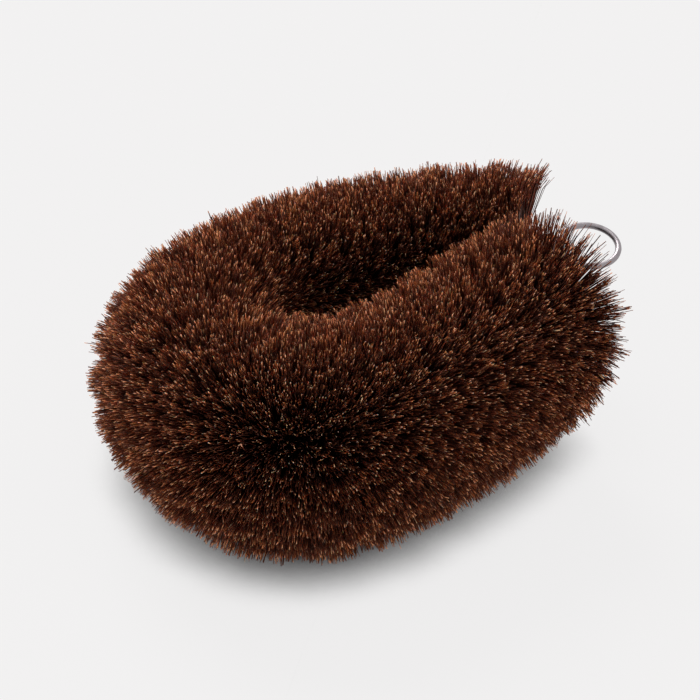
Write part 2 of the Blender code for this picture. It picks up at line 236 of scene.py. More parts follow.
class FibreLook(PropertyGroup):
    """The loose fibres of the bundles."""

    count: IntProperty(
        name="Fibres",
        description="How many fibre ends stand round the whole brush",
        default=118_000,
        min=1_000,
    )
    thickness: length_property("Thickness", "Usual diameter of a palm fibre", 0.16 * MM)
    clump_width: length_property("Clump Width", "How far apart the clumps of tips stand", 1.5 * MM)
    clump_lean: length_property("Clump Lean", "How far a clump leans at its tips", 0.6 * MM)
    bow: length_property("Bow", "How far a fibre bows between root and tip", 0.85 * MM)
    ragged: length_property("Ragged", "How much shorter than the trim a fibre may be", 3.0 * MM)
    patch_depth: length_property(
        "Patch Depth", "How much shorter the pile is in its thin patches", 1.3 * MM
    )
    unruly_share: FloatProperty(
        name="Unruly Share",
        description="Share of the fibres that stand out of line",
        subtype="FACTOR",
        default=0.08,
        min=0.0,
        max=1.0,
    )
    end_splay: length_property(
        "End Splay", "How far the last fibres spread past the stem's ends", 2.6 * MM
    )
    # The darkest fibres' colour, and also the painted shade deep in the pile.
    dark_and_shade_colour: colour_property("Pit", "The darkest fibres", "#3E211A")
    shaft_colour: colour_property("Shaft", "Most of the fibres", "#4C2517")
    light_colour: colour_property("Light Shafts", "The lighter fibres", "#944E2C")
    # The tips and cut ends are paler in part, and in part painted glints.
    tip_and_glint_colour: colour_property("Tips", "The coppery last stretch of a fibre", "#EBA074")
    cut_and_glint_colour: colour_property("Cut Ends", "The trimmed ends of the fibres", "#F8D8BE")
    stray_colour: colour_property("Strays", "The few pale fibres", "#DDB791")


class WireLook(PropertyGroup):
    """The folded wire."""

    diameter: length_property("Diameter", "Diameter of the wire", WIRE_DIAMETER)
    zinc_colour: colour_property("Zinc", "The galvanised surface", "#AAA3A6")
    dull_colour: colour_property("Dull Zinc", "The darker patches of the zinc", "#878083")


class StageLook(PropertyGroup):
    """The floor and the light."""

    floor_colour: colour_property("Floor", "The pale surface under the brush", "#F1F0F0")
    key_strength: strength_property("Key Light", "The soft light from above", 2.15)
    sky_strength: strength_property("Overhead Light", "The room's light from overhead", 0.72)
    horizon_strength: strength_property("Horizon Light", "The room's light from the sides", 0.7)


def unit(vectors):
    """The vectors at length one."""
    return vectors / np.linalg.norm(vectors, axis=-1, keepdims=True)


def cubic(points, steps):
    """Points along a cubic curve: its four control points, weighted by the terms of the cube of
    (1 - t) plus t."""
    t = np.linspace(0.0, 1.0, steps)[:, None]
    a, b, c, d = np.asarray(points)
    return (1 - t) ** 3 * a + 3 * (1 - t) ** 2 * t * b + 3 * (1 - t) * t**2 * c + t**3 * d


def arc_lengths(points):
    """The length along a line at each of its points."""
    return np.concatenate([[0.0], np.cumsum(np.linalg.norm(np.diff(points, axis=0), axis=1))])


def ease(share, start):
    """Zero up to start, then a parabola that reaches one at share 1."""
    return np.clip((share - start) / (1 - start), 0.0, 1.0) ** 2


class Path:
    """A line in space, read by its length along it, with a level normal on its left."""

    def __init__(self, points, start=0.0):
        self.points = points
        self.at = start + arc_lengths(points)
        self.start, self.end = self.at[0], self.at[-1]
        self.tangents = unit(np.gradient(points, self.at, axis=0))
        self.lefts = unit(np.cross(UP, self.tangents))

    def read(self, rows, s):
        """Rows given along the line, at the lengths s."""
        return np.stack([np.interp(s, self.at, rows[:, i]) for i in range(3)], axis=-1)

    def frame(self, s):
        """The points at s, with their tangents, lefts and ups."""
        tangents = unit(self.read(self.tangents, s) * (1, 1, 0))
        lefts = np.cross(UP, tangents)
        return self.read(self.points, s), tangents, lefts, np.cross(tangents, lefts)

    def around(self, s, angle, radius):
        """Points beside the line: radius times sine up and cosine to the right of it."""
        points, _, lefts, ups = self.frame(s)
        out = np.sin(angle)[..., None] * ups - np.cos(angle)[..., None] * lefts
        return points + np.asarray(radius)[..., None] * out


def arm_line(length, offset, bend_pull, arm_pull, toe_in, side):
    """One arm in plan: a cubic that leaves the bend at right angles and toes in at its end."""
    last_pull = (length - arm_pull * math.cos(toe_in), offset + arm_pull * math.sin(toe_in))
    controls = np.array([(0.0, 0.0), (0.0, bend_pull), last_pull, (length, offset)])
    return cubic(controls * (1, side), LINE_STEPS)


class Stem(Path):
    """The brush's own line, from the near arm's end round the bend to the far arm's end."""

    def __init__(self):
        arms = []
        for plan in (arm_line(**NEAR_ARM), arm_line(**FAR_ARM)):
            share = arc_lengths(plan)
            share = share / share[-1]
            height = AXIS_HEIGHT + END_LIFT * ease(share, TAPER_SHARE)
            arms.append(np.column_stack([plan, height]))
        super().__init__(np.concatenate([arms[0][::-1], arms[1][1:]]))
        self.pitch = 2 * (self.end - self.start) / len(BUNDLES)
        self.middle = self.at[LINE_STEPS - 1]
        self.bend = self.bend_radius()
        self.crowded, self.rim, self.across = self.room()
        self.radius = self.trim()

    def trim(self):
        """The brush's radius along the stem: a little less round the bend and towards the ends."""
        before = (self.middle - self.at) / self.middle
        after = (self.at - self.middle) / (self.end - self.middle)
        share = np.maximum(before, after)
        bend_trim = BEND_TRIM * np.clip(1 - share / BEND_SHARE, 0.0, 1.0) ** 2
        return BRUSH_RADIUS - bend_trim - END_TRIM * ease(share, TAPER_SHARE)

    def bend_radius(self):
        """The radius of the bend along the stem, from how fast its heading turns."""
        heading = np.unwrap(np.arctan2(self.tangents[:, 1], self.tangents[:, 0]))
        return 1 / np.maximum(-np.gradient(heading, self.at), 1 / STRAIGHT_RADIUS)

    def room(self):
        """How the loop crowds the fibres that reach into it.

        Level lines run inward from the stem. A soft distance to the whole stem is the sum of its
        pieces over a power of their distances, brought back by the root of one power less and
        scaled so that it is the true distance beside a straight stem. Where the bend is tight or
        the other arm is near it is less than the true one: the crowding. A fibre at the rim
        of the bowl ends where the soft distance is RIM_REACH, and a level one where another
        stretch of stem gets nearer than its own. Both are smoothed by a bell curve.
        """
        plan, inward = self.points[::ROOM_STEP, :2], -self.lefts[::ROOM_STEP, :2]
        at = self.at[::ROOM_STEP]
        tips = plan[:, None] + LEVEL_STEPS[None, :, None] * inward[:, None]
        apart = np.linalg.norm(tips[:, :, None] - plan[None, None], axis=-1)
        across = np.arange(-SUM_REACH, SUM_REACH, SUM_STEP)
        straight = ((1 + across**2) ** (-CROWDING_POWER / 2)).sum() * SUM_STEP
        near = (apart**-CROWDING_POWER * np.gradient(at)).sum(axis=-1) / straight
        soft = near ** (-1 / (CROWDING_POWER - 1))
        crossed = np.abs(at[apart.argmin(axis=-1)] - at[:, None]) > OTHER_ARM
        crossed[:, -1] = True
        bell = np.exp(-(((at[:, None] - at[None]) / CROWDING_BLUR) ** 2))
        bell /= bell.sum(axis=1, keepdims=True)
        tests = ((soft > RIM_REACH) | crossed, crossed)
        rows = [bell @ LEVEL_STEPS[test.argmax(axis=1)] for test in tests]
        crowded = np.minimum(soft / LEVEL_STEPS, 1.0)
        return crowded, *(np.interp(self.at, at, row) for row in rows)

    def fullness(self, s, level):
        """The soft distance over the true one, at the length s and the level distance from it."""
        row = np.searchsorted(self.at[::ROOM_STEP], s).clip(0, len(self.crowded) - 1)
        column = np.searchsorted(LEVEL_STEPS, level).clip(0, len(LEVEL_STEPS) - 1)
        return self.crowded[row, column]

    def reach(self, s, angle):
        """How far level a fibre may reach, at the length s and the angle. One so steep that it
        meets the trim over the rim of the bowl stops at the rim. From there the reach changes
        evenly with the angle, up to the other arm's fibres for a level one."""
        rim, across = np.interp(s, self.at, self.rim), np.interp(s, self.at, self.across)
        steep = np.arccos(np.clip(rim / BRUSH_RADIUS, 0.0, 1.0))
        lean = np.abs((angle + HALF_TURN) % FULL_TURN - HALF_TURN)
        return rim + (across - rim) * np.clip(1 - lean / steep, 0.0, 1.0)


def ring_line(throat, outward, across, ring_steps=64, throat_steps=10):
    """The ring beyond its throat, in the plane of the ways outward and across: a cubic from one leg
    into an open circle, and its mirror image back out to the other leg."""
    angles = np.linspace(RING_OPEN_ANGLE, FULL_TURN - RING_OPEN_ANGLE, ring_steps)
    arc = np.column_stack([-np.cos(angles), np.sin(angles)]) * RING_RADIUS
    first = np.array([-(RING_RADIUS + WIRE_DIAMETER), TWIST_RADIUS])
    away = np.array([math.sin(RING_OPEN_ANGLE), math.cos(RING_OPEN_ANGLE)])
    pull = np.linalg.norm(arc[0] - first) / 3
    entry = cubic([first, first + (pull, 0.0), arc[0] - away * pull, arc[0]], throat_steps)[:-1]
    flat = np.concatenate([entry, arc, (entry * (1, -1))[::-1]])
    centre = throat + outward * (RING_RADIUS + WIRE_DIAMETER)
    return centre + flat[:, :1] * outward + flat[:, 1:] * across


def wire_line(stem, points_per_turn=24):
    """The folded wire's own line: a cut end, a leg, the ring, the other leg, the other cut end.

    A leg is a helix round the stem and round the neck of the ring. Before the stem its turn dies
    away as a parabola, it widens as a bell curve to pass the neck, and it turns again behind it.
    """
    start, tangent, _, _ = stem.frame(stem.end)
    heading = math.atan2(tangent[1], tangent[0]) + NECK_TURN
    outward = np.array([math.cos(heading), math.sin(heading), 0.0])
    throat = start + outward * NECK_LENGTH + UP * NECK_LIFT
    pull = NECK_LENGTH / 3
    controls = [start, start + tangent * pull, throat - outward * pull, throat]
    neck = Path(cubic(controls, LINE_STEPS), stem.end)
    across = math.cos(RING_ROLL) * np.cross(UP, outward) + math.sin(RING_ROLL) * UP

    near_end, tangent, _, _ = stem.frame(stem.start)
    crossing, arriving, _, _ = neck.frame(neck.start + CROSSING_SHARE * NECK_LENGTH)
    pull = np.linalg.norm(crossing - near_end) / 3
    controls = [near_end, near_end - tangent * pull, crossing - arriving * pull, crossing]
    lead_line = cubic(controls, LINE_STEPS)
    lead = arc_lengths(lead_line)[-1]
    closing = Path(np.concatenate([lead_line, (crossing + arriving * TAIL_LENGTH)[None]]))

    def twist(s):
        return HALF_TURN - RING_ROLL - FULL_TURN * (neck.end - s) / stem.pitch

    at_start = twist(stem.start)
    natural = at_start - HALF_TURN * lead / stem.pitch
    over_and_under = HALF_TURN / 2 + HALF_TURN * round((natural - HALF_TURN / 2) / HALF_TURN)

    def leg(turned):
        d = np.linspace(closing.end, 0.0, 4 * points_per_turn, endpoint=False)
        share = np.clip(d / lead, 0.0, 1.0)
        behind = np.clip((d - lead) / TAIL_LENGTH, 0.0, 1.0)
        angle = at_start + (over_and_under - at_start) * share * (2 - share)
        angle = angle - FULL_TURN * TAIL_TURNS * behind**2
        base = np.where(d <= lead, TWIST_RADIUS, TAIL_RADIUS)
        bell = np.exp(-(((d - lead) / STRADDLE_RADIUS) ** 2))
        radius = base + (STRADDLE_RADIUS - base) * bell
        # The closing line runs the other way, so its left is the stem's right.
        rows = [closing.around(d, HALF_TURN - angle - turned, radius)]
        for line in (stem, neck):
            count = math.ceil((line.end - line.start) / stem.pitch * points_per_turn)
            s = np.linspace(line.start, line.end, count, endpoint=False)
            rows.append(line.around(s, twist(s) + turned, np.full(count, TWIST_RADIUS)))
        return np.concatenate(rows)

    ring = ring_line(throat, outward, across)
    return np.concatenate([leg(0.0), ring, leg(HALF_TURN)[::-1]])


def placed_stem():
    """The stem and the wire's line, moved so that the wire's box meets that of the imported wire."""
    stem = Stem()
    line = wire_line(stem)
    low, high = (np.array(corner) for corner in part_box("core_wire"))
    shift = ((low + high) - (line.min(axis=0) + line.max(axis=0))) / 2 * (1, 1, 0)
    stem.points = stem.points + shift
    return stem, line + shift


def new_mesh_object(name, points, corners, starts, smooth, uvs):
    """A mesh object from whole arrays: points, the corners of its faces, where each face starts in
    them, which faces are smooth, and a UV for each corner."""
    mesh = bpy.data.meshes.new(name)
    mesh.vertices.add(points.size // 3)
    mesh.vertices.foreach_set("co", points.astype(np.float32).ravel())
    mesh.loops.add(len(corners))
    mesh.loops.foreach_set("vertex_index", corners.astype(np.int32))
    mesh.polygons.add(len(starts))
    mesh.polygons.foreach_set("loop_start", starts.astype(np.int32))
    mesh.update(calc_edges=True)
    mesh.polygons.foreach_set("use_smooth", smooth)
    layer = mesh.uv_layers.new(name="UVMap")
    layer.uv.foreach_set("vector", uvs.astype(np.float32).ravel())
    if mesh.validate():
        raise RuntimeError(f"{name} has faces that aren't valid")
    obj = bpy.data.objects.new(name, mesh)
    bpy.context.scene.collection.objects.link(obj)
    return obj


def tube_faces(rings, sides, turned_back=False):
    """The faces of a closed tube: the corners of its quads and of its two flat caps, where each
    face starts in them, and which faces are smooth. turned_back is for rings whose corners run the
    other way round."""
    ring, corner = np.meshgrid(np.arange(rings - 1), np.arange(sides), indexing="ij")
    following = (corner + 1) % sides
    first, second = ring * sides + corner, ring * sides + following
    quads = np.stack([first, second, second + sides, first + sides], axis=-1)
    caps = [np.arange(sides)[::-1], (rings - 1) * sides + np.arange(sides)]
    if turned_back:
        quads = np.roll(quads[..., ::-1], 1, axis=-1)
        caps = [cap[::-1] for cap in caps]
    corners = np.concatenate([quads.ravel(), *caps])
    starts = np.concatenate([4 * np.arange(quads.size // 4), quads.size + np.array([0, sides])])
    smooth = np.array([True] * (len(starts) - 2) + [False] * 2)
    return corners, starts, smooth


def fibre_mesh(name, centres, radii, tone, along, turn):
    """Closed thin prisms along many short lines at once.

    centres is fibre by ring by axis. Round each centre stand three corners, at the ring's radius
    times cosine and sine in the plane across the fibre. The UV holds the fibre's tone, and how far
    out along it a corner is. A cut end has a mark there, so that the material can find it.
    """
    count, rings = centres.shape[:2]
    ahead = unit(centres[:, -1] - centres[:, 0])
    # The skew keeps the sideways way from vanishing where a fibre stands upright.
    side = unit(np.cross(ahead, UP + SIDE_SKEW * np.roll(ahead, 1, axis=1)))
    other = np.cross(ahead, side)
    angles = turn[:, None] + FULL_TURN * np.arange(FIBRE_SIDES) / FIBRE_SIDES
    ways = np.cos(angles)[..., None] * side[:, None] + np.sin(angles)[..., None] * other[:, None]
    points = centres[:, :, None] + radii[:, :, None, None] * ways[:, None]

    one, one_starts, one_smooth = tube_faces(rings, FIBRE_SIDES)
    step = np.arange(count)[:, None]
    corners = (one[None] + step * rings * FIBRE_SIDES).ravel()
    starts = (one_starts[None] + step * len(one)).ravel()

    v = np.repeat(along, FIBRE_SIDES, axis=1)[:, one]
    v[:, -FIBRE_SIDES:] = CUT_END_MARK
    u = np.repeat(tone[:, None], len(one), axis=1)
    uvs = np.stack([u, v], axis=-1)
    return new_mesh_object(name, points, corners, starts, np.tile(one_smooth, count), uvs)


def even_spread(count, start, end):
    """Places that fill the stem's length and turn evenly: multiples of two irrational steps."""
    number = np.arange(1, count + 1)
    s = start + (end - start) * ((0.5 + number / PLASTIC) % 1.0)
    return s, FULL_TURN * ((0.5 + number / PLASTIC**2) % 1.0)


def crowding(stem, s, angle):
    """How much room there is at the trim, against that on a straight stem: one, less the brush's
    radius over the bend's radius, times the cosine of the angle, which is one on the inside."""
    bend = np.interp(s, stem.at, stem.bend)
    return np.clip(1 - BRUSH_RADIUS * np.cos(angle) / bend, LEAST_ROOM, MOST_ROOM)


def spread_by_room(stem, count, rng):
    """About count places round the stem, thinned where the bend crowds them."""
    s, angle = even_spread(int(count * MOST_ROOM), stem.start, stem.end)
    keep = rng.random(len(s)) < crowding(stem, s, angle) / MOST_ROOM
    return s[keep], angle[keep]


class Clumps:
    """Where the fibres' tips gather, with each clump's lean, length and tone, which holds a painted
    shade in the thin patches.
    """

    def __init__(self, stem, look, rng):
        area = FULL_TURN * BRUSH_RADIUS * (stem.end - stem.start)
        self.s, self.angle = spread_by_room(stem, area / look.clump_width**2, rng)
        count = len(self.s)
        way = rng.random(count) * FULL_TURN
        size = look.clump_lean * np.sqrt(rng.random(count))
        self.lean_along, self.lean_round = size * np.cos(way), size * np.sin(way)
        patch = self.patches(rng)
        self.short = look.ragged * CLUMP_RAGGED * rng.random(count) ** 2
        self.short += look.patch_depth * np.clip(patch, FULLEST_PATCH, 1.0)
        # Random tone, with painted shade: the thin patches get a darker tone.
        self.tone = rng.normal(0.0, CLUMP_TONE_SPREAD, count) - PATCH_PAINTED_SHADE * patch

    def patches(self, rng):
        """Where the pile is thin, above zero, or full, below it: the sum of a few sine waves, each
        with its own way over the brush and about a patch's width from one high to the next."""
        total = np.zeros(len(self.s))
        for _ in range(PATCH_WAVES):
            way = rng.random() * FULL_TURN
            length = PATCH_WIDTH * (WAVE_LEAST + WAVE_SPREAD * rng.random())
            place = np.cos(way) * self.s + np.sin(way) * BRUSH_RADIUS * np.sin(self.angle)
            place = place + WAVE_SLANT * BRUSH_RADIUS * np.cos(self.angle) * np.cos(way)
            total += np.sin(FULL_TURN * (place / length + rng.random()))
        return total / math.sqrt(PATCH_WAVES / 2)

    def nearest(self, s, angle):
        """The number of the clump nearest to each fibre, over the unrolled brush."""
        within = (self.s > s.min() - CLUMP_SEARCH) & (self.s < s.max() + CLUMP_SEARCH)
        near = np.flatnonzero(within)
        along = s[:, None] - self.s[near]
        turned = (angle[:, None] - self.angle[near] + HALF_TURN) % FULL_TURN - HALF_TURN
        return near[(along**2 + (BRUSH_RADIUS * turned) ** 2).argmin(axis=1)]


class Bundle:
    """One bundle's loose fibres.

    A fibre runs out from the stem, at the length s and the angle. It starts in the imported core,
    bows a little, and drifts towards its clump and the clump's lean with the square of its share.
    It ends at the trim, or where the other arm's fibres or the surface below stop it.
    """

    def __init__(self, stem, s, angle, clumps, look, rng):
        self.stem, self.look, self.rng = stem, look, rng
        self.s, self.angle, self.count = s, angle, len(s)
        self.near = s < stem.middle
        self.end_distance = np.minimum(s - stem.start, stem.end - s)
        self.ending = np.clip(1 - self.end_distance / END_LENGTH, 0.0, 1.0)

        clump = clumps.nearest(s, angle)
        self.clump_short, self.clump_tone_and_shade = clumps.short[clump], clumps.tone[clump]
        self.lean_along, self.lean_round = clumps.lean_along[clump], clumps.lean_round[clump]
        to_clump = (clumps.angle[clump] - angle + HALF_TURN) % FULL_TURN - HALF_TURN
        pull = TIP_PULL + END_GATHER * self.ending
        drift = FIBRE_SHARES[None] ** 2
        self.s_at = s[:, None] + (pull * (clumps.s[clump] - s))[:, None] * drift
        self.angle_at = angle[:, None] + (pull * to_clump)[:, None] * drift

    def trimmed(self, ragged):
        """How far from the stem a fibre ends when nothing stops it: at the trim, less what it and
        its clump lack. The arms' ends differ a little, and the near arm has a shallow hollow."""
        stem, s = self.stem, self.s
        free = np.interp(self.s_at, stem.at, stem.radius)[:, -1]
        free = free + PILE_RISE - self.clump_short - ragged
        arm = np.where(self.near, stem.middle - stem.start, stem.end - stem.middle)
        end_share = ease(np.abs(s - stem.middle) / arm, TAPER_SHARE)
        fuller = np.where(self.near, NEAR_END_FULL, FAR_END_FULL)
        return free + fuller * end_share * np.sin(self.angle)

    def tips(self, inward):
        """How far from the stem each fibre ends, and how much of that its own raggedness takes.

        inward is the level share of its way, into the loop. The level ones of the two arms reach
        on to meet and tangle. The loop crowds the ones that reach into it: their level reach grows
        until the soft distance to the whole stem is the trim. At the last, a soft least of that
        and the rim of the bowl stops them.
        """
        look, rng, stem, s = self.look, self.rng, self.stem, self.s
        s_tip, angle_tip = self.s_at[:, -1], self.angle_at[:, -1]
        ragged = look.ragged * rng.random(self.count) ** RAGGED_POWER
        long_ones = rng.random(self.count) < LONG_SHARE
        ragged = np.where(long_ones, -LONG_REACH * rng.random(self.count), ragged)
        reach = stem.reach(s_tip, angle_tip) + UNEVEN * rng.normal(0.0, 1.0, self.count)

        meeting = np.clip((inward - MEET_START) / (1 - MEET_START), 0.0, 1.0)
        free = self.trimmed(ragged) + MEET_REACH * meeting
        hollow = np.exp(-(((s - stem.start - HOLLOW_PLACE) / HOLLOW_LENGTH) ** 2))
        free = free - HOLLOW_DEPTH * hollow * np.maximum(np.cos(self.angle - HOLLOW_ANGLE), 0.0)

        level, rise = np.maximum(inward, 0.0), np.sin(angle_tip)
        crowded = stem.fullness(s_tip, free * level)
        # The one that is added where a fibre doesn't lean inward keeps the root clear of zero.
        flattened = np.sqrt((crowded * level) ** 2 + rise**2 + (level == 0))
        crowded = stem.fullness(s_tip, free * level / flattened)
        free = np.where(level > 0, free / np.sqrt((crowded * level) ** 2 + rise**2), free)
        limit = reach / np.maximum(inward, LEVEL_LIMIT)
        softest = (free**-SOFTNESS + limit**-SOFTNESS) ** (-1 / SOFTNESS)
        return np.where(inward > LEVEL_LIMIT, softest, free), ragged

    def splay(self):
        """How far the tips near the stem's ends lean along it. On the near arm the lean grows with
        the sine of the angle. On the far arm it peaks as a squared cosine at one angle, which
        slants its end face, and it is a little back everywhere else."""
        near_lean = NEAR_LEAN + NEAR_LEAN_RISE * np.sin(self.angle)
        facing = np.maximum(np.cos(self.angle - FAR_LEAN_ANGLE), 0.0)
        far_lean = FAR_LEAN * facing**2 - FAR_LEAN_BACK
        size = self.look.end_splay * self.ending**SPLAY_POWER
        size = size * (SPLAY_LEAST + SPLAY_SPREAD * self.rng.random(self.count))
        return size * np.where(self.near, -near_lean, far_lean)

    def tones_with_painted_shade(self, ragged):
        """Each fibre's tone, random, with painted shade: the short ones lie deeper in the pile and
        are painted darker.
        """
        deep = np.clip(ragged / self.look.ragged, 0.0, 1.0)
        own = self.rng.normal(0.0, TONE_SPREAD, self.count)
        tone = np.clip(USUAL_TONE + self.clump_tone_and_shade + own, 0.0, LIGHTEST_TONE)
        stray = self.rng.random(self.count) < STRAY_SHARE
        return np.where(stray, 1.0, tone * (1 - DEEP_PAINTED_SHADE * deep))

    def mesh(self, name):
        """The mesh object of the bundle's fibres."""
        look, rng, count = self.look, self.rng, self.count
        points, tangents, lefts, ups = self.stem.frame(self.s_at)
        inward = np.cos(self.angle_at)
        out = np.sin(self.angle_at)[..., None] * ups - inward[..., None] * lefts
        round_way = np.cross(tangents, out)
        tip, ragged = self.tips(inward[:, -1])
        at_end = self.end_distance < END_ROOTS
        root = np.where(at_end, END_ROOT_RADIUS, CORE_RADIUS - ROOT_DEPTH)
        root = np.minimum(root, tip * ROOT_SHARE)
        t = FIBRE_SHARES[None]
        radius = root[:, None] + (tip - root)[:, None] * t

        splay = self.splay()
        loose = np.minimum(1.0, crowding(self.stem, self.s, self.angle))
        way = rng.random(count) * FULL_TURN
        unruly = np.where(rng.random(count) < look.unruly_share, UNRULY_BEND, 1.0)
        bow = look.bow * rng.random(count) * loose * unruly
        own = rng.normal(0.0, UNEVEN, (2, count)) * loose * unruly
        # The bow is a parabola that is zero at the root and at the tip.
        curve = 4 * t * (1 - t)
        drift_along = self.lean_along * loose + own[0] + splay
        drift_round = self.lean_round * loose + own[1]
        along = drift_along[:, None] * t**2 + (bow * np.cos(way))[:, None] * curve
        aside = drift_round[:, None] * t**2 + (bow * np.sin(way))[:, None] * curve
        centres = points + radius[..., None] * out + along[..., None] * tangents
        centres = centres + aside[..., None] * round_way

        thick = look.thickness / 2 * (THICKNESS_LEAST + THICKNESS_SPREAD * rng.random(count) ** 2)
        # The surface stops a fibre, at one to three times its own radius over it.
        lowest = thick * (1 + 2 * rng.random(count))
        centres[..., 2] = np.maximum(centres[..., 2], lowest[:, None])
        radii = thick[:, None] * FIBRE_TAPER[None]
        share = 1 - (tip[:, None] - radius) / BRUSH_RADIUS
        return fibre_mesh(name, centres, radii, self.tones_with_painted_shade(ragged), share, way)


def add_node(tree, kind, values=None, links=None, **settings):
    """Adds a node with its settings, the values of its sockets and the links into them."""
    node = tree.nodes.new(kind)
    for name, value in settings.items():
        setattr(node, name, value)
    for name, value in (values or {}).items():
        node.inputs[name].default_value = value
    for name, socket in (links or {}).items():
        tree.links.new(socket, node.inputs[name])
    return node


def set_stops(ramp_node, positions, colours):
    """Puts stops with linear colours into a colour ramp, which has two to begin with."""
    elements = ramp_node.color_ramp.elements
    while len(elements) < len(positions):
        elements.new(0.5)
    for element, position, colour in zip(elements, positions, colours):
        element.position = position
        element.color = (*colour, 1.0)


def new_material(name):
    """An empty node material and its Principled shader."""
    made = bpy.data.materials.new(name)
    made.use_nodes = True
    return made, made.node_tree, made.node_tree.nodes["Principled BSDF"]


# How far under its tip a fibre starts to come up in colour, and how far under it is fully up: first
# out of the painted shade between the fibres, and then into the coppery tip, partly a painted glint.
PAINTED_SHADE_DEPTHS = (1.56 * MM, 0.2 * MM)
COPPER_AND_GLINT_DEPTHS = (0.68 * MM, 0.24 * MM)
# One fibre in a few has a bright tip and cut end, partly paler pith and partly a painted glint: the
# chance from which one is bright, and the tone.
GLINT_CHANCE = (0.72, 0.84)
GLINT_TONE = (0.2, 0.42)
# Waxy and dry stretches follow each other every few millimetres.
WAX_LENGTH = 4.0 * MM
WAXY_ROUGHNESS = 0.34
DRY_ROUGHNESS = 0.52
# Noise stays mostly between these two values.
NOISE_RANGE = {"From Min": 0.3, "From Max": 0.7}


def palm_fibre_material(look):
    """Windmill palm fibre, combed and trimmed: dark red-brown bast with a dull waxy gloss. Single
    fibres differ from near black to copper, and their trimmed ends show the paler inside. Deep in
    the pile the colour is painted shade, and the bright tips and cut ends are partly painted glints."""
    made, tree, shader = new_material("trimmed_palm_fibre")
    uv = add_node(tree, "ShaderNodeUVMap", uv_map="UVMap")
    parts = add_node(tree, "ShaderNodeSeparateXYZ", links={"Vector": uv.outputs["UV"]})
    tone, along = parts.outputs["X"], parts.outputs["Y"]
    ramp = add_node(tree, "ShaderNodeValToRGB", links={"Fac": tone})
    colours = (look.dark_and_shade_colour, look.shaft_colour, look.light_colour, look.stray_colour)
    set_stops(ramp, TONE_STOPS, colours)
    out_of_painted_shade, copper_tip_and_glint = (
        add_node(
            tree, "ShaderNodeMapRange",
            {"From Min": 1 - start / BRUSH_RADIUS, "From Max": 1 - full / BRUSH_RADIUS},
            {"Value": along}, interpolation_type="SMOOTHSTEP",
        ).outputs["Result"]
        for start, full in (PAINTED_SHADE_DEPTHS, COPPER_AND_GLINT_DEPTHS)
    )
    # Deep under its tip a fibre takes the dark colour: painted shade.
    body = add_node(
        tree, "ShaderNodeMix", {6: (*look.dark_and_shade_colour, 1.0)},
        {0: out_of_painted_shade, 7: ramp.outputs["Color"]}, data_type="RGBA",
    )
    # Bright tips and cut ends on a few fibres: in part paler pith, in part painted glints.
    chance = add_node(tree, "ShaderNodeTexWhiteNoise", links={"W": tone}, noise_dimensions="1D")
    lucky, high = (
        add_node(
            tree, "ShaderNodeMapRange", {"From Min": low, "From Max": top}, {"Value": value}
        ).outputs["Result"]
        for (low, top), value in ((GLINT_CHANCE, chance.outputs["Value"]), (GLINT_TONE, tone))
    )
    is_cut = add_node(
        tree, "ShaderNodeMath", {1: (1 + CUT_END_MARK) / 2}, {0: along}, operation="GREATER_THAN"
    )
    glint_share = add_node(tree, "ShaderNodeMath", links={0: lucky, 1: high}, operation="MULTIPLY")
    colour = body.outputs[2]
    for share, over in ((copper_tip_and_glint, look.tip_and_glint_colour), (is_cut.outputs[0], look.cut_and_glint_colour)):
        share = add_node(
            tree, "ShaderNodeMath", links={0: share, 1: glint_share.outputs[0]}, operation="MULTIPLY"
        ).outputs[0]
        colour = add_node(
            tree, "ShaderNodeMix", {7: (*over, 1.0)}, {0: share, 6: colour}, data_type="RGBA"
        ).outputs[2]
    coordinates = add_node(tree, "ShaderNodeTexCoord")
    wax = add_node(
        tree, "ShaderNodeTexNoise", {"Scale": 1 / WAX_LENGTH, "Detail": 2.0},
        {"Vector": coordinates.outputs["Object"]},
    )
    rough = add_node(
        tree, "ShaderNodeMapRange",
        {**NOISE_RANGE, "To Min": WAXY_ROUGHNESS, "To Max": DRY_ROUGHNESS},
        {"Value": wax.outputs["Fac"]},
    )
    tree.links.new(colour, shader.inputs["Base Color"])
    tree.links.new(rough.outputs["Result"], shader.inputs["Roughness"])
    # A fibre is thin enough for light to glow through it, reddest the farthest. Its IOR is that of
    # cellulose, and its wax gives only a dull gloss.
    shader.inputs["Subsurface Weight"].default_value = 0.6
    shader.inputs["Subsurface Radius"].default_value = (1.0, 0.5, 0.28)
    shader.inputs["Subsurface Scale"].default_value = 0.2 * MM
    shader.inputs["IOR"].default_value = 1.53
    shader.inputs["Specular IOR Level"].default_value = 0.16
    shader.inputs["Specular Tint"].default_value = (*look.tip_and_glint_colour, 1.0)
    return made


# The zinc: the size of its duller patches, how rough it is, and the scratches from the drawing,
# which are long, side by side all round the wire, and as coarse as they need to be to show.
ZINC_PATCH = 1.5 * MM
ZINC_ROUGHNESS = (0.30, 0.48)
SCRATCH_LENGTH = 6.0 * MM
SCRATCHES_ROUND = 40.0
SCRATCH_DEPTH = 0.02 * MM


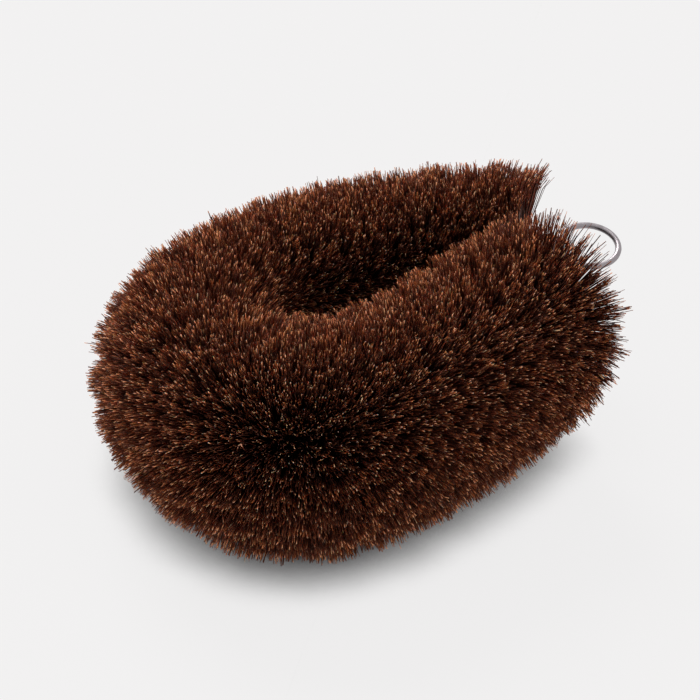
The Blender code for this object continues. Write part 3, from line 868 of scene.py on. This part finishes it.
def zinc_material(look):
    """Galvanised steel wire, drawn and dipped in zinc: a satin grey with duller patches, and fine
    scratches along the wire from the drawing."""
    made, tree, shader = new_material("galvanised_steel_wire")
    coordinates = add_node(tree, "ShaderNodeTexCoord")
    patches = add_node(
        tree, "ShaderNodeTexNoise", {"Scale": 1 / ZINC_PATCH, "Detail": 3.0},
        {"Vector": coordinates.outputs["Object"]},
    )
    colour = add_node(
        tree, "ShaderNodeMix", {6: (*look.dull_colour, 1.0), 7: (*look.zinc_colour, 1.0)},
        {0: patches.outputs["Fac"]}, data_type="RGBA",
    )
    rough = add_node(
        tree, "ShaderNodeMapRange",
        {**NOISE_RANGE, "To Min": ZINC_ROUGHNESS[0], "To Max": ZINC_ROUGHNESS[1]},
        {"Value": patches.outputs["Fac"]},
    )
    uv = add_node(tree, "ShaderNodeUVMap", uv_map="UVMap")
    lines = add_node(
        tree, "ShaderNodeMapping", {"Scale": (1 / SCRATCH_LENGTH, SCRATCHES_ROUND, 1.0)},
        {"Vector": uv.outputs["UV"]},
    )
    scratches = add_node(
        tree, "ShaderNodeTexNoise", {"Scale": 1.0, "Detail": 2.0},
        {"Vector": lines.outputs["Vector"]},
    )
    bump = add_node(
        tree, "ShaderNodeBump", {"Strength": 0.25, "Distance": SCRATCH_DEPTH},
        {"Height": scratches.outputs["Fac"]},
    )
    tree.links.new(colour.outputs[2], shader.inputs["Base Color"])
    tree.links.new(rough.outputs["Result"], shader.inputs["Roughness"])
    tree.links.new(bump.outputs["Normal"], shader.inputs["Normal"])
    shader.inputs["Metallic"].default_value = 1.0
    return made


def tube_mesh(name, line, radius):
    """A closed round tube: at each point of the line, a circle in the plane of the sideways and the
    upward normals. Its two ends have a small chamfer and a flat cap. The UV holds the length along
    the tube and the share round it."""
    tangents = unit(np.gradient(line, axis=0))
    first, last = tangents[0] * CUT_CHAMFER, tangents[-1] * CUT_CHAMFER
    centres = [[line[0]], [line[0] + first], line[2:-2], [line[-1] - last], [line[-1]]]
    centres = np.concatenate(centres)
    sizes = np.full(len(centres), radius)
    sizes[[0, -1]] = radius - CUT_CHAMFER
    side = unit(np.cross(UP, tangents))
    above = np.cross(tangents, side)
    angles = (FULL_TURN * np.arange(WIRE_SIDES) / WIRE_SIDES)[None, :, None]
    ways = np.cos(angles) * side[:, None] + np.sin(angles) * above[:, None]
    points = centres[:, None] + sizes[:, None, None] * ways

    corners, starts, smooth = tube_faces(len(centres), WIRE_SIDES)
    cap_corners = 2 * WIRE_SIDES
    row, corner = np.divmod(corners[:-cap_corners:4], WIRE_SIDES)
    at = arc_lengths(centres)
    share = np.stack([corner, corner + 1, corner + 1, corner], axis=-1) / WIRE_SIDES
    length = np.stack([at[row], at[row], at[row + 1], at[row + 1]], axis=-1)
    uvs = np.stack([length.ravel(), share.ravel()], axis=-1)
    uvs = np.concatenate([uvs, np.zeros((cap_corners, 2))])
    return new_mesh_object(name, points, corners, starts, smooth, uvs)


def core_mesh(name, stem):
    """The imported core: a tube round the stem, with rounded ends. Its radius ripples with the sine
    of many turns round and along it, as fibre roots packed side by side do."""
    t = np.linspace(0.0, 1.0, CORE_ROWS)
    s = stem.start + CORE_INSET + (stem.end - stem.start - 2 * CORE_INSET) * t
    end = np.minimum(s - s[0], s[-1] - s)
    dome = 1 - (1 - np.clip(end / CORE_RADIUS, 0, 1)) ** 2
    dome = np.sqrt(np.clip(dome, CORE_END_SHARE, 1.0))[:, None]
    angle = FULL_TURN * np.arange(CORE_SIDES) / CORE_SIDES
    turned = angle[None] + FULL_TURN * (s / stem.pitch)[:, None]
    ripple = RIPPLE_DEPTH * np.sin(RIPPLES * turned)
    inward = np.cos(angle)[None]
    reach = np.interp(s, stem.at, stem.rim)[:, None] - CORE_RIM_GAP
    size = CORE_RADIUS * dome + ripple * dome
    limit = reach / np.maximum(inward, LEVEL_LIMIT)
    size = np.where(inward > LEVEL_LIMIT, np.minimum(size, limit), size)
    points = stem.around(s[:, None], angle[None], size)
    corners, starts, _ = tube_faces(CORE_ROWS, CORE_SIDES, turned_back=True)
    smooth = np.ones(len(starts), bool)
    uvs = np.tile(CORE_SHADE_UV, (len(corners), 1))
    return new_mesh_object(name, points, corners, starts, smooth, uvs)


def finish_piece(obj, made, slot, *nodes):
    """Gives a piece its material, ties it to the body and hides the imported parts that it stands
    for. Its slot is not used.
    """
    obj.data.materials.append(made)
    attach(obj, "root")
    if nodes:
        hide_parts(*nodes)


class AddPalmFibres(Operator):
    """Add the loose fibres of every bundle"""

    bl_idname = "scrub_brush.add_palm_fibres"
    bl_label = "Add Palm Fibres"

    def execute(self, context):
        look = context.scene.scrub_brush_fibres
        rng = np.random.default_rng(SEED)
        stem, _ = placed_stem()
        clumps = Clumps(stem, look, rng)
        s, angle = spread_by_room(stem, look.count, rng)
        edges = np.linspace(stem.start, stem.end, len(BUNDLES) + 1)
        made = palm_fibre_material(look)
        for node, first, last in zip(BUNDLES, edges, edges[1:]):
            mine = (s >= first) & (s < last)
            name = node.replace("fibre_bundle", "loose_fibres")
            bundle = Bundle(stem, s[mine], angle[mine], clumps, look, rng)
            finish_piece(bundle.mesh(name), made, "palm_fibre", node)
        finish_piece(core_mesh("packed_fibre_roots", stem), made, "palm_fibre")
        return {"FINISHED"}


class AddFoldedWire(Operator):
    """Add the folded and twisted wire with its ring"""

    bl_idname = "scrub_brush.add_folded_wire"
    bl_label = "Add Folded Wire"

    def execute(self, context):
        look = context.scene.scrub_brush_wire
        _, line = placed_stem()
        obj = tube_mesh("folded_wire", line, look.diameter / 2)
        finish_piece(obj, zinc_material(look), "galvanised_wire", "core_wire")
        return {"FINISHED"}


# The camera's target, and its angles round the brush and over the surface and its distance from it.
CAMERA_TARGET = np.array([-6.82, 1.3, 19.5]) * MM
CAMERA_AZIMUTH = math.radians(-32.1)
CAMERA_ELEVATION = math.radians(34.05)
CAMERA_DISTANCE = 420.2 * MM
CAMERA_LENS_MM = 119.6
CAMERA_SENSOR_MM = 36.0
CAMERA_CLIP = 0.01

# The card's size, how much of it shows plain to the camera, how its painted contact shadow darkens
# it close to the brush, and how bright the room behind it shows.
FLOOR_REACH = 6.0
PLAIN_FLOOR_SHARE = 0.93
CONTACT_REACH = 10.0 * MM
CONTACT_POWER = 1.25
BACKDROP_STRENGTH = 0.9

# The key light: how wide it looks from the brush, which softens its shadows, and where it stands.
KEY_SPREAD = math.radians(28.0)
KEY_TILT = math.radians(-50.0)
KEY_TURN = math.radians(-12.0)


def seen_share(tree):
    """One for what the camera sees, straight, in a reflection or through something clear."""
    path = add_node(tree, "ShaderNodeLightPath").outputs
    seen = path["Is Camera Ray"]
    for other in (path["Is Glossy Ray"], path["Is Transmission Ray"]):
        seen = add_node(
            tree, "ShaderNodeMath", links={0: seen, 1: other}, operation="ADD", use_clamp=True
        ).outputs[0]
    return seen


def card_material(look):
    """Uncoated card, which is matt and gives no highlight. To the camera it is mostly its own plain
    colour, darker only close to the brush, where a contact shadow from ambient occlusion is painted
    in."""
    made, tree, shader = new_material("matt_card")
    shader.inputs["Base Color"].default_value = (*look.floor_colour, 1.0)
    shader.inputs["Roughness"].default_value = 1.0
    shader.inputs["Specular IOR Level"].default_value = 0.0
    share = add_node(
        tree, "ShaderNodeMath", {1: PLAIN_FLOOR_SHARE}, {0: seen_share(tree)}, operation="MULTIPLY"
    )
    # Painted shadow: the plain colour darkens where the brush is near.
    painted_contact_shadow = add_node(tree, "ShaderNodeAmbientOcclusion", {"Distance": CONTACT_REACH})
    open_share = add_node(
        tree, "ShaderNodeMath", {1: CONTACT_POWER}, {0: painted_contact_shadow.outputs["AO"]}, operation="POWER"
    )
    plain = add_node(
        tree, "ShaderNodeEmission", {"Color": (*look.floor_colour, 1.0)},
        {"Strength": open_share.outputs[0]},
    )
    mix = add_node(
        tree, "ShaderNodeMixShader",
        links={0: share.outputs[0], 1: shader.outputs["BSDF"], 2: plain.outputs["Emission"]},
    )
    tree.links.new(mix.outputs[0], tree.nodes["Material Output"].inputs["Surface"])
    return made


def add_floor(scene, look):
    """A square of card under the brush."""
    data = bpy.data.meshes.new("floor")
    square = ((-1, -1), (1, -1), (1, 1), (-1, 1))
    corners = [(x * FLOOR_REACH, y * FLOOR_REACH, 0.0) for x, y in square]
    data.from_pydata(corners, [], [(0, 1, 2, 3)])
    floor = bpy.data.objects.new("floor", data)
    scene.collection.objects.link(floor)
    data.materials.append(card_material(look))


def add_room(scene, look):
    """The room's light, which changes evenly from the horizon to overhead. The camera sees one
    plain tone instead."""
    world = bpy.data.worlds.new("studio")
    scene.world = world
    world.use_nodes = True
    tree = world.node_tree
    background = tree.nodes["Background"]
    coordinates = add_node(tree, "ShaderNodeTexCoord").outputs["Generated"]
    height = add_node(tree, "ShaderNodeSeparateXYZ", links={"Vector": coordinates}).outputs["Z"]
    sky = add_node(
        tree, "ShaderNodeMapRange", {"To Min": look.horizon_strength, "To Max": look.sky_strength},
        {"Value": height},
    )
    strength = add_node(
        tree, "ShaderNodeMapRange", {"To Max": BACKDROP_STRENGTH},
        {"Value": seen_share(tree), "To Min": sky.outputs["Result"]},
    )
    tree.links.new(strength.outputs["Result"], background.inputs["Strength"])
    background.inputs["Color"].default_value = (1.0, 1.0, 1.0, 1.0)


def add_key_light(scene, look):
    """The soft sun from above."""
    key = bpy.data.lights.new("key", "SUN")
    key.energy = look.key_strength
    key.angle = KEY_SPREAD
    lamp = bpy.data.objects.new("key", key)
    lamp.rotation_euler = (KEY_TILT, 0.0, KEY_TURN)
    scene.collection.objects.link(lamp)


def add_camera(scene):
    """The camera, turned towards its target."""
    data = bpy.data.cameras.new("camera")
    data.lens = CAMERA_LENS_MM
    data.sensor_width = CAMERA_SENSOR_MM
    data.clip_start = CAMERA_CLIP
    camera = bpy.data.objects.new("camera", data)
    level, rise = math.cos(CAMERA_ELEVATION), math.sin(CAMERA_ELEVATION)
    back = np.array([math.sin(CAMERA_AZIMUTH) * level, -math.cos(CAMERA_AZIMUTH) * level, rise])
    camera.location = CAMERA_TARGET + CAMERA_DISTANCE * back
    camera.rotation_euler = (HALF_TURN / 2 - CAMERA_ELEVATION, 0.0, CAMERA_AZIMUTH)
    scene.collection.objects.link(camera)
    scene.camera = camera


class AddStage(Operator):
    """Add the floor, the light and the camera"""

    bl_idname = "scrub_brush.add_stage"
    bl_label = "Add Stage"

    def execute(self, context):
        scene = context.scene
        look = scene.scrub_brush_stage
        add_floor(scene, look)
        add_room(scene, look)
        add_key_light(scene, look)
        add_camera(scene)
        scene.view_settings.view_transform = "Standard"
        return {"FINISHED"}


class BrushPanel(Panel):
    """The brush's sizes, colours and pieces in the sidebar"""

    bl_idname = "VIEW3D_PT_scrub_brush"
    bl_label = "Scrub Brush"
    bl_space_type = "VIEW_3D"
    bl_region_type = "UI"
    bl_category = "Scrub Brush"

    def draw(self, context):
        for name, operator in zip(LOOKS, OPERATORS):
            look = getattr(context.scene, name)
            box = self.layout.box()
            for setting in look.__annotations__:
                box.prop(look, setting)
            box.operator(operator.bl_idname)


LOOKS = {
    "scrub_brush_fibres": FibreLook,
    "scrub_brush_wire": WireLook,
    "scrub_brush_stage": StageLook,
}
OPERATORS = (AddPalmFibres, AddFoldedWire, AddStage)
CLASSES = (*LOOKS.values(), *OPERATORS, BrushPanel)


def register():
    for made in CLASSES:
        bpy.utils.register_class(made)
    for name, look in LOOKS.items():
        setattr(bpy.types.Scene, name, PointerProperty(type=look))


def unregister():
    for name in LOOKS:
        delattr(bpy.types.Scene, name)
    for made in reversed(CLASSES):
        bpy.utils.unregister_class(made)


def main():
    register()
    bpy.ops.scrub_brush.add_palm_fibres()
    bpy.ops.scrub_brush.add_folded_wire()
    bpy.ops.scrub_brush.add_stage()


if __name__ == "__main__":
    main()
